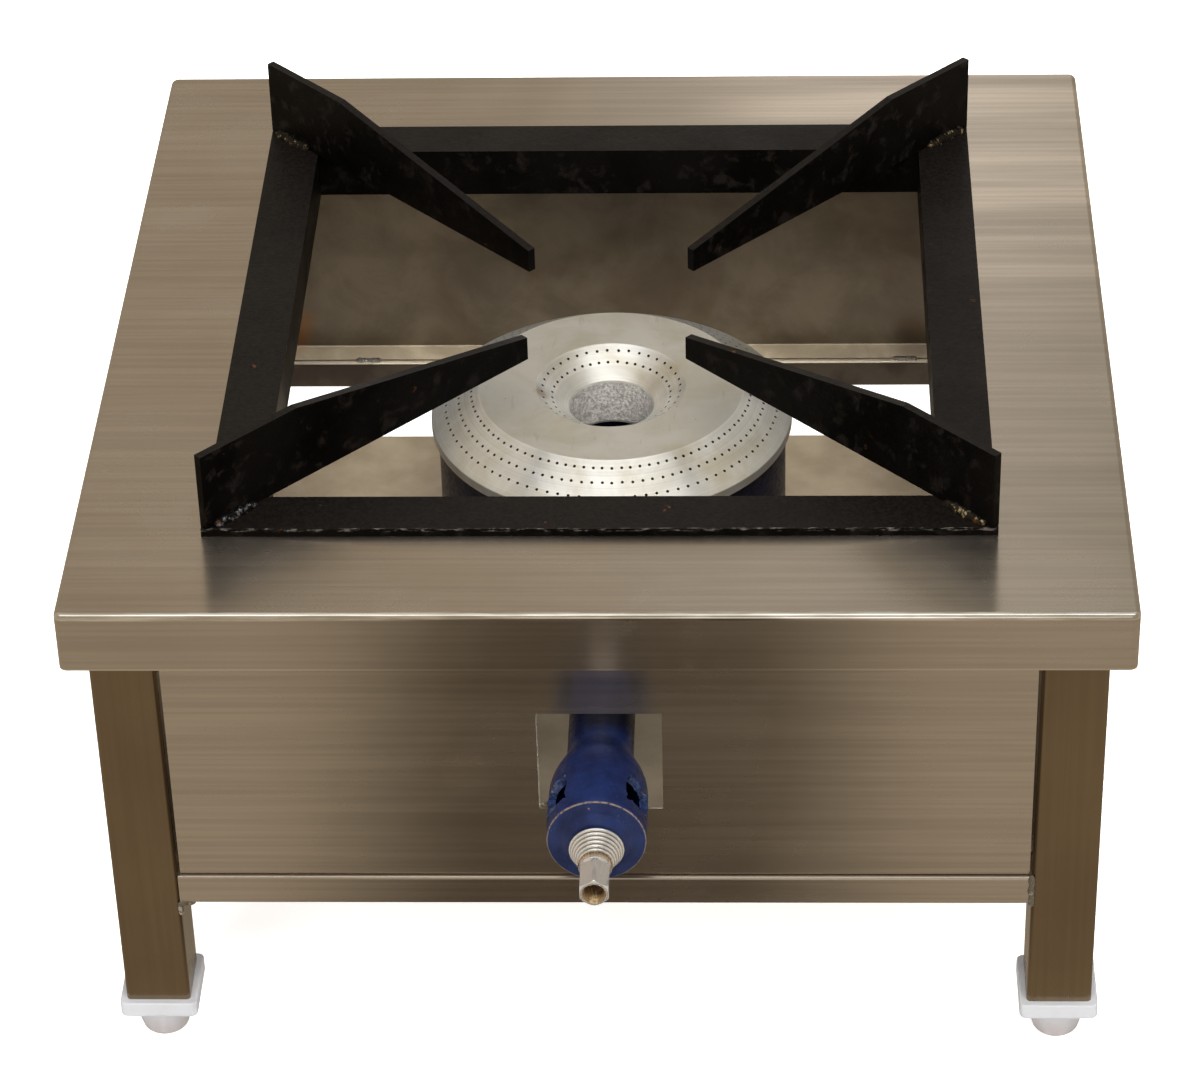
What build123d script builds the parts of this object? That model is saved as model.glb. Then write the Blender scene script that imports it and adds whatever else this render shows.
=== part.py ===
"""Single gas burner stand: a square steel stand with a cast burner and a lift-off pan support.

Origin: centre of the overall box, on the floor. +X is to the user's right, +Y is away
from the user, +Z is up. The gas jet points along -Y, towards the user. Units are mm.
"""

import os
from math import cos, radians, sin, sqrt

from build123d import *

os.makedirs("parts", exist_ok=True)

# ---------------------------------------------------------------- driving dimensions
stand_size = 600.0        # outside of the top plate, square
plate_height = 295.0      # bottom of the legs to the face of the top plate
plate_corner_radius = 5.0
plate_edge_radius = 3.0
sheet = 1.5               # top plate and shelf
panel_sheet = 1.2         # side panels
skirt = 38.0              # depth of the top plate's folded edge
opening_size = 400.0      # square opening in the top plate
opening_corner_radius = 4.0

leg_size = 38.0           # square tube
leg_wall = 1.6
leg_corner_radius = 2.5
leg_inset = 14.0          # skirt face to leg face

rail_depth = 25.0         # lower rails, rectangular tube
rail_height = 20.0
rail_bottom = 75.0        # above the bottom of the legs
rail_wall = 1.5
rail_corner_radius = 2.0
upper_rail_size = 25.0    # square tube under the plate

panel_gap = 1.5           # panel edge to leg
panel_top_gap = 1.0       # panel edge to the underside of the plate
panel_bend_radius = 1.2   # inside of the bend
panel_flange = 17.0       # foot of each panel, lying on its lower rail
front_recess = 2.0        # leg face to panel face
back_recess = 7.8
cutout_width = 71.0       # front panel, for the mixing tube
cutout_height = 69.0
cutout_bottom = 145.0     # above the bottom of the legs

foot_height = 34.0        # plastic foot below the leg
foot_flange_size = 46.0
foot_flange_height = 11.0
foot_corner_radius = 4.0
foot_dome_radius = 19.0   # round foot below the flange, narrowing to the floor
foot_dome_taper = 14.0
foot_plug_size = 34.4     # hollow plug inside the leg
foot_plug_wall = 2.2
foot_plug_height = 18.0
plug_corner_radius = 1.0

ring_radius = 111.0       # burner ring
ring_flat_radius = 81.5
ring_recess_radius = 46.0
ring_hole_radius = 26.0
ring_chamfer_drop = 19.0
ring_rim_height = 6.0
ring_skirt_height = 6.0   # locating skirt inside the body's wall
ring_skirt_width = 6.0
ring_recess_depth = 15.0
ring_wall = 7.0
ring_hub_length = 30.0
ring_hub_wall = 4.5
ring_top_above_legs = 248.0

body_radius = 107.0       # cast burner body
body_height = 73.0
body_wall = 5.0
body_floor = 8.0
body_chamfer = 8.0
body_fillet = 6.0
hub_clearance = 0.5       # ring hub inside the body hub

tube_radius = 19.0        # cast mixing tube
tube_bore_radius = 15.0
tube_axis_above_legs = 178.0
bell_radius = 28.0
bell_wall = 4.0
bell_reach = 53.0         # skirt face to the bell's flat face
bell_straight = 37.0      # straight part behind the flat face
bell_shoulder = 39.0      # from the straight part back to the tube
window_angle = 42.0       # each of three air windows, round the axis
window_length = 21.0
window_offset = 31.0      # from skirt face to the middle of the windows

jet_reach = 98.0          # skirt face to the tip of the gas inlet
hex_flats = 16.0
inlet_bore_radius = 5.72  # female thread, minor radius of a 1/4 inch pipe thread
inlet_depth = 14.0
stem_radius = 5.95
stem_hole_radius = 6.0

bar_size = 32.0           # pan support, equal angle
bar_thickness = 5.0
support_size = 450.0
arm_thickness = 5.0
arm_tip_radius = 69.0     # from the burner axis
arm_kink_radius = 245.0
arm_end_radius = 316.0
arm_tip_height = 15.0
arm_height = 49.0

# ---------------------------------------------------------------- places worked out from them
half = stand_size / 2
centre_y = jet_reach / 2              # the stand's own centre
front_y = centre_y - half             # face of the front skirt
leg_bottom_z = foot_height
plate_top_z = leg_bottom_z + plate_height
plate_under_z = plate_top_z - sheet
leg_face = half - leg_inset           # from the centre
leg_inner_face = leg_face - leg_size
leg_centre = leg_face - leg_size / 2
rail_bottom_z = leg_bottom_z + rail_bottom
rail_top_z = rail_bottom_z + rail_height
ring_top_z = leg_bottom_z + ring_top_above_legs
ring_seat_z = ring_top_z - ring_chamfer_drop - ring_rim_height
body_bottom_z = ring_seat_z - body_height
tube_axis_z = leg_bottom_z + tube_axis_above_legs
shelf_top_z = rail_top_z + sheet
support_top_z = plate_top_z + bar_thickness


def write_step(builder, name):
    """Labels a finished piece and writes its STEP file."""
    builder.part.label = name
    export_step(builder.part, f"parts/{name}.step")


def side_plane(angle):
    """Section plane of one side: local x outwards from the stand's centre, local y up."""
    outwards = Vector(cos(radians(angle)), sin(radians(angle)), 0)
    return Plane(origin=(0, centre_y, 0), x_dir=outwards, z_dir=outwards.cross(Vector(0, 0, 1)))


def axis_plane(distance_from_skirt):
    """Section across the mixing tube: its normal points at the user."""
    return Plane(
        origin=(0, front_y - distance_from_skirt, tube_axis_z), x_dir=(1, 0, 0), z_dir=(0, -1, 0)
    )


tube_section = Plane(origin=(0, front_y, tube_axis_z), x_dir=(0, -1, 0), z_dir=(1, 0, 0))
tube_axis = Axis((0, front_y, tube_axis_z), (0, -1, 0))
burner_section = Plane(origin=(0, centre_y, 0), x_dir=(1, 0, 0), z_dir=(0, -1, 0))
burner_axis = Axis((0, centre_y, 0), (0, 0, 1))

sides = {"front": 270, "right": 0, "back": 90, "left": 180}
recesses = {"front": front_recess, "right": front_recess, "back": back_recess, "left": front_recess}
setbacks = {"front": 0.0, "right": 0.0, "back": 4.0, "left": 0.0}
corners = {
    "front_left": (-1, -1),
    "front_right": (1, -1),
    "back_left": (-1, 1),
    "back_right": (1, 1),
}

# ---------------------------------------------------------------- top plate
# Folded sheet: a shallow square pan turned upside down, with the pan support's opening.
with BuildPart() as top_plate:
    with BuildSketch(Plane.XY.offset(plate_top_z - skirt)):
        with Locations((0, centre_y)):
            Rectangle(stand_size, stand_size)
    extrude(amount=skirt)
    fillet(top_plate.edges().filter_by(Axis.Z), radius=plate_corner_radius)
    fillet(top_plate.faces().sort_by(Axis.Z)[-1].edges(), radius=plate_edge_radius)
    offset(amount=-sheet, openings=top_plate.faces().sort_by(Axis.Z)[0])
    with BuildSketch(Plane.XY.offset(plate_top_z)):
        with Locations((0, centre_y)):
            RectangleRounded(opening_size, opening_size, radius=opening_corner_radius)
    extrude(amount=-2 * sheet, mode=Mode.SUBTRACT)
write_step(top_plate, "top_plate")

# ---------------------------------------------------------------- legs and feet
for corner, (side_x, side_y) in corners.items():
    place = (side_x * leg_centre, centre_y + side_y * leg_centre)

    with BuildPart() as leg:
        with BuildSketch(Plane.XY.offset(leg_bottom_z)):
            with Locations(place):
                RectangleRounded(leg_size, leg_size, radius=leg_corner_radius)
                RectangleRounded(
                    leg_size - 2 * leg_wall,
                    leg_size - 2 * leg_wall,
                    radius=leg_corner_radius - leg_wall,
                    mode=Mode.SUBTRACT,
                )
        extrude(amount=plate_under_z - leg_bottom_z)
    write_step(leg, f"leg_{corner}")

    with BuildPart() as foot:
        with BuildSketch(Plane.XY.offset(foot_height - foot_flange_height)):
            with Locations(place):
                RectangleRounded(foot_flange_size, foot_flange_size, radius=foot_corner_radius)
        extrude(amount=foot_flange_height)
        fillet(foot.faces().sort_by(Axis.Z)[0].edges(), radius=2.0)
        fillet(foot.faces().sort_by(Axis.Z)[-1].edges(), radius=1.0)
        with BuildSketch(Plane.XY.offset(foot_height - foot_flange_height)):
            with Locations(place):
                Circle(foot_dome_radius)
        extrude(amount=-(foot_height - foot_flange_height), taper=foot_dome_taper)
        fillet(foot.faces().sort_by(Axis.Z)[0].edges(), radius=3.5)
        with BuildSketch(Plane.XY.offset(foot_height)):
            with Locations(place):
                RectangleRounded(foot_plug_size, foot_plug_size, radius=plug_corner_radius)
                RectangleRounded(
                    foot_plug_size - 2 * foot_plug_wall,
                    foot_plug_size - 2 * foot_plug_wall,
                    radius=plug_corner_radius,
                    mode=Mode.SUBTRACT,
                )
        extrude(amount=foot_plug_height)
    write_step(foot, f"foot_{corner}")

# ---------------------------------------------------------------- rails and panels, side by side
for side, angle in sides.items():
    section = side_plane(angle)
    panel_face = leg_face - recesses[side]
    panel_back = panel_face - panel_sheet
    panel_top_z = plate_under_z - panel_top_gap
    flange_edge = panel_back - panel_flange

    # The lower rail is welded between two legs.
    with BuildPart() as lower_rail:
        with BuildSketch(section):
            with Locations((leg_face - setbacks[side] - rail_depth / 2, rail_bottom_z + rail_height / 2)):
                RectangleRounded(rail_depth, rail_height, radius=rail_corner_radius)
                RectangleRounded(
                    rail_depth - 2 * rail_wall,
                    rail_height - 2 * rail_wall,
                    radius=rail_corner_radius - rail_wall,
                    mode=Mode.SUBTRACT,
                )
        extrude(amount=leg_inner_face, both=True)
    write_step(lower_rail, f"lower_rail_{side}")

    # The upper rail carries the plate and backs the panel.
    with BuildPart() as upper_rail:
        with BuildSketch(section):
            with Locations((panel_back - upper_rail_size / 2, plate_under_z - upper_rail_size / 2)):
                RectangleRounded(upper_rail_size, upper_rail_size, radius=rail_corner_radius)
                RectangleRounded(
                    upper_rail_size - 2 * rail_wall,
                    upper_rail_size - 2 * rail_wall,
                    radius=rail_corner_radius - rail_wall,
                    mode=Mode.SUBTRACT,
                )
        extrude(amount=leg_inner_face, both=True)
    write_step(upper_rail, f"upper_rail_{side}")

    # The panel stands between the legs; its foot is folded inwards on to the lower rail.
    with BuildPart() as panel:
        with BuildSketch(section):
            with BuildLine():
                FilletPolyline(
                    (panel_face, panel_top_z),
                    (panel_face, rail_top_z),
                    (flange_edge, rail_top_z),
                    radius=panel_bend_radius + panel_sheet,
                )
                FilletPolyline(
                    (panel_back, panel_top_z),
                    (panel_back, rail_top_z + panel_sheet),
                    (flange_edge, rail_top_z + panel_sheet),
                    radius=panel_bend_radius,
                )
                Line((panel_face, panel_top_z), (panel_back, panel_top_z))
                Line((flange_edge, rail_top_z), (flange_edge, rail_top_z + panel_sheet))
            make_face()
        extrude(amount=leg_inner_face - panel_gap, both=True)
        if side == "front":
            with BuildSketch(Plane.XZ.offset(-front_y)):
                with Locations((0, leg_bottom_z + cutout_bottom + cutout_height / 2)):
                    Rectangle(cutout_width, cutout_height)
            extrude(amount=-leg_size, mode=Mode.SUBTRACT)
    write_step(panel, f"{side}_panel")

# ---------------------------------------------------------------- shelf that carries the burner
shelf_bearing = 3.5                          # rests on the inner edge of the side and front rails
shelf_half = leg_face - rail_depth + shelf_bearing
shelf_front = front_y + leg_inset + rail_depth - shelf_bearing
shelf_back = front_y + 467.0
shelf_lip = 14.0
shelf_lip_clearance = 2.0
shelf_bend_radius = 1.4
bolt_circle_radius = 80.0
bolt_angles = (90, 210, 330)
bolt_places = [
    (bolt_circle_radius * cos(radians(a)), centre_y + bolt_circle_radius * sin(radians(a)))
    for a in bolt_angles
]
lug_radius = 11.0
bolt_radius = 4.0
bolt_hole_radius = 4.05
shelf_hole_radius = 4.5
bolt_head_flats = 13.0
bolt_head_height = 5.3
bolt_grip = 22.0

with BuildPart() as burner_shelf:
    with BuildSketch(Plane.XY.offset(rail_top_z)):
        with Locations((0, (shelf_front + shelf_back) / 2)):
            Rectangle(2 * shelf_half, shelf_back - shelf_front)
        notch_depth = leg_inset + leg_size + panel_gap - (shelf_front - front_y)
        with Locations(
            (-shelf_half, shelf_front + notch_depth / 2), (shelf_half, shelf_front + notch_depth / 2)
        ):
            Rectangle(2 * (shelf_half - leg_inner_face + panel_gap), notch_depth, mode=Mode.SUBTRACT)
        with Locations(*bolt_places):
            Circle(shelf_hole_radius, mode=Mode.SUBTRACT)
    extrude(amount=sheet)
    with BuildSketch(Plane.XY.offset(rail_top_z)):
        with Locations((0, shelf_back - sheet / 2)):
            Rectangle(2 * (leg_face - rail_depth - shelf_lip_clearance), sheet)
    extrude(amount=-shelf_lip)
    back_edge = burner_shelf.faces().sort_by(Axis.Z)[-1].edges().sort_by(Axis.Y)[-1]
    fillet(back_edge, radius=shelf_bend_radius)
write_step(burner_shelf, "burner_shelf")

# ---------------------------------------------------------------- cast burner body
hub_radius = ring_hole_radius + ring_hub_wall + hub_clearance
hub_wall = 5.0
hub_step = 8.0                                      # hub's rim below the body's rim
boss_length = 18.0
boss_radius = 26.0
boss_reach = boss_length - (half - body_radius)     # in front of the skirt face, so negative
boss_sink = body_radius - sqrt(body_radius**2 - boss_radius**2) + 1.0
socket_depth = 12.0

with BuildPart() as burner_body:
    with BuildSketch(burner_section):
        with BuildLine():
            Polyline(
                (hub_radius, body_bottom_z),
                (body_radius - body_chamfer, body_bottom_z),
                (body_radius, body_bottom_z + body_chamfer),
                (body_radius, ring_seat_z),
                (body_radius - body_wall, ring_seat_z),
                (body_radius - body_wall, body_bottom_z + body_floor + body_fillet),
                (body_radius - body_wall - body_fillet, body_bottom_z + body_floor),
                (hub_radius + hub_wall, body_bottom_z + body_floor),
                (hub_radius + hub_wall, ring_seat_z - hub_step),
                (hub_radius, ring_seat_z - hub_step),
                close=True,
            )
        make_face()
    revolve(axis=burner_axis)
    with BuildSketch(axis_plane(boss_reach)):
        Circle(boss_radius)
    extrude(amount=-(boss_length + boss_sink))
    with BuildSketch(axis_plane(boss_reach)):
        Circle(tube_bore_radius)
    extrude(amount=-(boss_length + 2 * boss_radius), mode=Mode.SUBTRACT)
    with BuildSketch(axis_plane(boss_reach)):
        Circle(tube_radius + 0.05)
    extrude(amount=-socket_depth, mode=Mode.SUBTRACT)
    with BuildSketch(Plane.XY.offset(shelf_top_z)):
        with Locations(*bolt_places):
            Circle(lug_radius)
    extrude(amount=body_bottom_z - shelf_top_z + 1.0)
    with BuildSketch(Plane.XY.offset(shelf_top_z)):
        with Locations(*bolt_places):
            Circle(bolt_hole_radius)
    extrude(amount=bolt_grip, mode=Mode.SUBTRACT)
write_step(burner_body, "burner_body")

with BuildPart() as burner_bolts:
    with BuildSketch(Plane.XY.offset(rail_top_z - bolt_head_height)):
        with Locations(*bolt_places):
            RegularPolygon(bolt_head_flats / 2, 6, major_radius=False)
    extrude(amount=bolt_head_height)
    with BuildSketch(Plane.XY.offset(rail_top_z)):
        with Locations(*bolt_places):
            Circle(bolt_radius)
    extrude(amount=bolt_grip - 1.0)
write_step(burner_bolts, "burner_bolts")

# ---------------------------------------------------------------- burner ring
# A turned aluminium cap; its hub drops into the body's hub and its rim sits on the body's rim.
ring_skirt_radius = body_radius - body_wall - hub_clearance
ring_skirt_inside = ring_skirt_radius - ring_skirt_width
ring_cone_z = ring_top_z - ring_recess_depth
ring_hub_radius = hub_radius - hub_clearance
with BuildPart() as burner_ring:
    with BuildSketch(burner_section):
        with BuildLine():
            Polyline(
                (ring_hole_radius, ring_cone_z - ring_hub_length),
                (ring_hole_radius, ring_cone_z),
                (ring_recess_radius, ring_top_z),
                (ring_flat_radius, ring_top_z),
                (ring_radius, ring_seat_z + ring_rim_height),
                (ring_radius, ring_seat_z),
                (ring_skirt_radius, ring_seat_z),
                (ring_skirt_radius, ring_seat_z - ring_skirt_height),
                (ring_skirt_inside, ring_seat_z - ring_skirt_height),
                (ring_skirt_inside, ring_seat_z + ring_wall),
                (ring_flat_radius - 2.0, ring_top_z - ring_wall),
                (ring_recess_radius + 2.0, ring_top_z - ring_wall),
                (ring_hub_radius, ring_cone_z - 4.0),
                (ring_hub_radius, ring_cone_z - ring_hub_length),
                close=True,
            )
        make_face()
    revolve(axis=burner_axis)
write_step(burner_ring, "burner_ring")

# ---------------------------------------------------------------- mixing tube with its air bell
# Local x is the distance in front of the skirt face, local y the radius about the tube axis.
tube_back = boss_reach - socket_depth
straight_back = bell_reach - bell_straight
shoulder_back = straight_back - bell_shoulder
face_boss_radius = 16.0
face_boss_height = 5.0
throat_radius = 11.0
with BuildPart() as mixing_tube:
    with BuildSketch(tube_section):
        with BuildLine():
            Line((tube_back, tube_bore_radius), (tube_back, tube_radius))
            Line((tube_back, tube_radius), (shoulder_back, tube_radius))
            Bezier(
                (shoulder_back, tube_radius),
                (shoulder_back + 0.35 * bell_shoulder, tube_radius),
                (shoulder_back + 0.5 * bell_shoulder, bell_radius),
                (straight_back, bell_radius),
            )
            Polyline(
                (straight_back, bell_radius),
                (bell_reach - 1.0, bell_radius),
                (bell_reach, bell_radius - 1.0),
                (bell_reach, face_boss_radius + 4.0),
                (bell_reach + face_boss_height, face_boss_radius),
                (bell_reach + face_boss_height, stem_hole_radius),
                (bell_reach - bell_wall, stem_hole_radius),
                (bell_reach - bell_wall, bell_radius - bell_wall),
                (straight_back, bell_radius - bell_wall),
                (shoulder_back, throat_radius),
                (shoulder_back - 20.0, throat_radius),
                (tube_back + 20.0, tube_bore_radius),
                (tube_back, tube_bore_radius),
            )
        make_face()
    revolve(axis=tube_axis)
    # Three air windows, one facing down and two up and to the sides.
    for direction in (30, 150, 270):
        spread = [radians(direction + k * window_angle / 2) for k in (-1, 1)]
        reach = 1.6 * bell_radius
        with BuildSketch(axis_plane(window_offset - window_length / 2)):
            with BuildLine():
                Polyline(
                    (8.0 * cos(radians(direction)), 8.0 * sin(radians(direction))),
                    (reach * cos(spread[0]), reach * sin(spread[0])),
                    (reach * cos(spread[1]), reach * sin(spread[1])),
                    close=True,
                )
            make_face()
        extrude(amount=window_length, mode=Mode.SUBTRACT)
write_step(mixing_tube, "mixing_tube")

# ---------------------------------------------------------------- gas jet, washer and spring
collar_radius = 9.0
collar_length = 2.0
hex_length = 21.0
collar_front = jet_reach - hex_length
collar_back = collar_front - collar_length
stem_back = bell_reach - bell_wall - 3.0
nozzle_length = 11.0
gas_passage_radius = 2.0
with BuildPart() as jet_holder:
    with BuildSketch(axis_plane(stem_back)):
        Circle(stem_radius)
    extrude(amount=collar_back - stem_back)
    with BuildSketch(axis_plane(collar_back)):
        Circle(collar_radius)
    extrude(amount=collar_length)
    with BuildSketch(axis_plane(collar_front)):
        RegularPolygon(hex_flats / 2, 6, major_radius=False, rotation=30)
    extrude(amount=hex_length)
    tip = jet_holder.faces().sort_by(Axis.Y)[0]
    with BuildSketch(Plane(tip.center(), x_dir=(1, 0, 0), z_dir=(0, -1, 0))):
        Circle(inlet_bore_radius)
    extrude(amount=-inlet_depth, mode=Mode.SUBTRACT)
    with BuildSketch(axis_plane(stem_back)):
        Circle(gas_passage_radius)
    extrude(amount=jet_reach - stem_back, mode=Mode.SUBTRACT)
write_step(jet_holder, "jet_holder")

with BuildPart() as jet_nozzle:
    with BuildSketch(tube_section):
        with BuildLine():
            Polyline(
                (stem_back, gas_passage_radius),
                (stem_back, 5.0),
                (stem_back - nozzle_length + 4.0, 5.0),
                (stem_back - nozzle_length, 2.6),
                (stem_back - nozzle_length, 0.6),
                (stem_back - nozzle_length + 3.0, 0.6),
                (stem_back - nozzle_length + 5.0, gas_passage_radius),
                close=True,
            )
        make_face()
    revolve(axis=tube_axis)
write_step(jet_nozzle, "jet_nozzle")

washer_thickness = 1.2
with BuildPart() as jet_washer:
    with BuildSketch(axis_plane(collar_back - washer_thickness)):
        Circle(9.6)
        Circle(stem_radius + 0.05, mode=Mode.SUBTRACT)
    extrude(amount=washer_thickness)
write_step(jet_washer, "jet_washer")

wire_radius = 1.0
spring_back = bell_reach + face_boss_height + wire_radius + 0.1
spring_front = collar_back - washer_thickness - wire_radius - 0.3
spring_large_radius = 15.0
spring_small_radius = 8.2
spring_turns = 5.5
spring_length = spring_front - spring_back
cone_angle = -Vector(spring_length, 0, 0).get_angle(
    Vector(spring_length, spring_large_radius - spring_small_radius, 0)
)
with BuildPart() as jet_spring:
    with BuildLine() as spring_line:
        Helix(
            pitch=spring_length / spring_turns,
            height=spring_length,
            radius=spring_large_radius,
            center=(0, front_y - spring_back, tube_axis_z),
            direction=(0, -1, 0),
            cone_angle=cone_angle,
        )
    with BuildSketch(Plane(spring_line.line @ 0, z_dir=spring_line.line % 0)):
        Circle(wire_radius)
    sweep(is_frenet=True)
write_step(jet_spring, "jet_spring")

# ---------------------------------------------------------------- lift-off pan support
support_half = support_size / 2
bar_inner = support_half - bar_size
for side, angle in sides.items():
    section = side_plane(angle)
    with BuildPart() as support_bar:
        with BuildSketch(section):
            with BuildLine():
                Polyline(
                    (support_half, plate_top_z),
                    (support_half, support_top_z),
                    (bar_inner, support_top_z),
                    (bar_inner, support_top_z - bar_size),
                    (bar_inner + bar_thickness, support_top_z - bar_size),
                    (bar_inner + bar_thickness, plate_top_z),
                    close=True,
                )
            make_face()
        extrude(amount=support_half, both=True)
        # Both ends are mitred on the stand's diagonals.
        for mitre_angle in (angle + 45, angle - 45):
            along = Vector(cos(radians(mitre_angle)), sin(radians(mitre_angle)), 0)
            middle = Vector(cos(radians(angle)), sin(radians(angle)), 0)
            normal = middle - along * middle.dot(along)
            split(bisect_by=Plane(origin=(0, centre_y, 0), z_dir=normal), keep=Keep.TOP)
    write_step(support_bar, f"support_bar_{side}")

for corner, (side_x, side_y) in corners.items():
    outwards = Vector(side_x, side_y, 0).normalized()
    upright = Plane(
        origin=(0, centre_y, support_top_z), x_dir=outwards, z_dir=outwards.cross(Vector(0, 0, 1))
    )
    with BuildPart() as support_arm:
        with BuildSketch(upright):
            with BuildLine():
                Polyline(
                    (arm_tip_radius, 0),
                    (arm_tip_radius, arm_tip_height),
                    (arm_kink_radius, arm_height),
                    (arm_end_radius, arm_height),
                    (arm_end_radius, 0),
                    close=True,
                )
            make_face()
        extrude(amount=arm_thickness / 2, both=True)
    write_step(support_arm, f"support_arm_{corner}")
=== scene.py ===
"""Looks of a single gas burner stand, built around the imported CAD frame.

Metres, in the row frame: +X to the user's right, +Y away from the user, +Z up.
"""

import random
from math import atan2, cos, hypot, pi, radians, sin

import bmesh
import bpy
from mathutils import Matrix, Vector, noise


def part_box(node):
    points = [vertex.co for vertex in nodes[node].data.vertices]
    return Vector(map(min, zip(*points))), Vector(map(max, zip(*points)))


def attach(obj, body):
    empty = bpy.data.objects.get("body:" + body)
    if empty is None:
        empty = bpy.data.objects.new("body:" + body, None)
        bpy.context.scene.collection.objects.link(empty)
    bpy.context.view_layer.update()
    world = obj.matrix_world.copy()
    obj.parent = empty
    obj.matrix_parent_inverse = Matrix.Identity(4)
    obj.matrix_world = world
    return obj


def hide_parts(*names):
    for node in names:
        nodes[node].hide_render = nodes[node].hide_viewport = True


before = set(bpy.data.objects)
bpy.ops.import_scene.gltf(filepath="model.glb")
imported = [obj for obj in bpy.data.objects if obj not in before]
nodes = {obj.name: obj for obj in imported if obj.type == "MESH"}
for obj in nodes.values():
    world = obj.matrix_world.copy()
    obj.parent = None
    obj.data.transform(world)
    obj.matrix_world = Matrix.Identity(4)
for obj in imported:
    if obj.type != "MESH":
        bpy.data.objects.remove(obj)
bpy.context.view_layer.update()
mm = 0.001

# ---------------------------------------------------------------- places read from the frame
plate_low, plate_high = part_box("top_plate")
ring_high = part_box("burner_ring")[1]
tube_low, tube_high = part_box("mixing_tube")
jet_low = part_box("jet_holder")[0]
bar_low, bar_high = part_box("support_bar_front")
panel_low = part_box("front_panel")[0]
back_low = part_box("back_panel")[0]
rail_low, rail_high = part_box("lower_rail_front")
back_rail_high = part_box("lower_rail_back")[1]
stand_y = (plate_low[1] + plate_high[1]) / 2
skirt_y = plate_low[1]
skirt_z = plate_low[2]
plate_z = plate_high[2]
ring_z = ring_high[2]
axis_z = (tube_low[2] + tube_high[2]) / 2
frame_z = bar_high[2]

scene = bpy.context.scene
scene.view_settings.view_transform = "Standard"


# ---------------------------------------------------------------- camera, light and floor
def camera_axes(yaw, pitch, roll):
    """Rotation of a camera that looks along +Y, turned by yaw and pitched down, then rolled."""
    forward = Vector((sin(yaw) * cos(pitch), cos(yaw) * cos(pitch), -sin(pitch)))
    level = Vector((cos(yaw), -sin(yaw), 0))
    above = level.cross(forward)
    right = cos(roll) * level + sin(roll) * above
    up = -sin(roll) * level + cos(roll) * above
    return Matrix((right, up, -forward)).transposed().to_4x4()


camera_data = bpy.data.cameras.new("camera")
camera_data.sensor_width = 36.0
camera_data.lens = 127.69
camera = bpy.data.objects.new("camera", camera_data)
camera.matrix_world = Matrix.Translation((0.09096, -2.12492, 1.7278)) @ camera_axes(
    yaw=-0.0462, pitch=0.6233, roll=-0.0287
)
scene.collection.objects.link(camera)
scene.camera = camera


def area_light(name, place, aim, size, power, colour, glossy):
    """A soft rectangular lamp; glossy says whether polished metal mirrors it."""
    data = bpy.data.lights.new(name, "AREA")
    data.shape = "RECTANGLE"
    data.size, data.size_y = size
    data.energy = power
    data.color = colour
    lamp = bpy.data.objects.new(name, data)
    lamp.location = place
    lamp.rotation_euler = (Vector(aim) - Vector(place)).to_track_quat("-Z", "Y").to_euler()
    lamp.visible_camera = False
    lamp.visible_glossy = glossy
    scene.collection.objects.link(lamp)


centre = Vector((0, stand_y, 0.2))
area_light("key", (0.5, -1.9, 3.4), centre, (2.6, 2.0), 250, (1.0, 0.97, 0.93), False)
area_light("fill", (-1.8, -3.4, 2.6), centre, (1.2, 1.0), 60, (1.0, 0.97, 0.95), False)
area_light("top", (0.2, 0.8, 4.2), centre, (3.6, 3.2), 90, (1.0, 0.97, 0.93), False)


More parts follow.
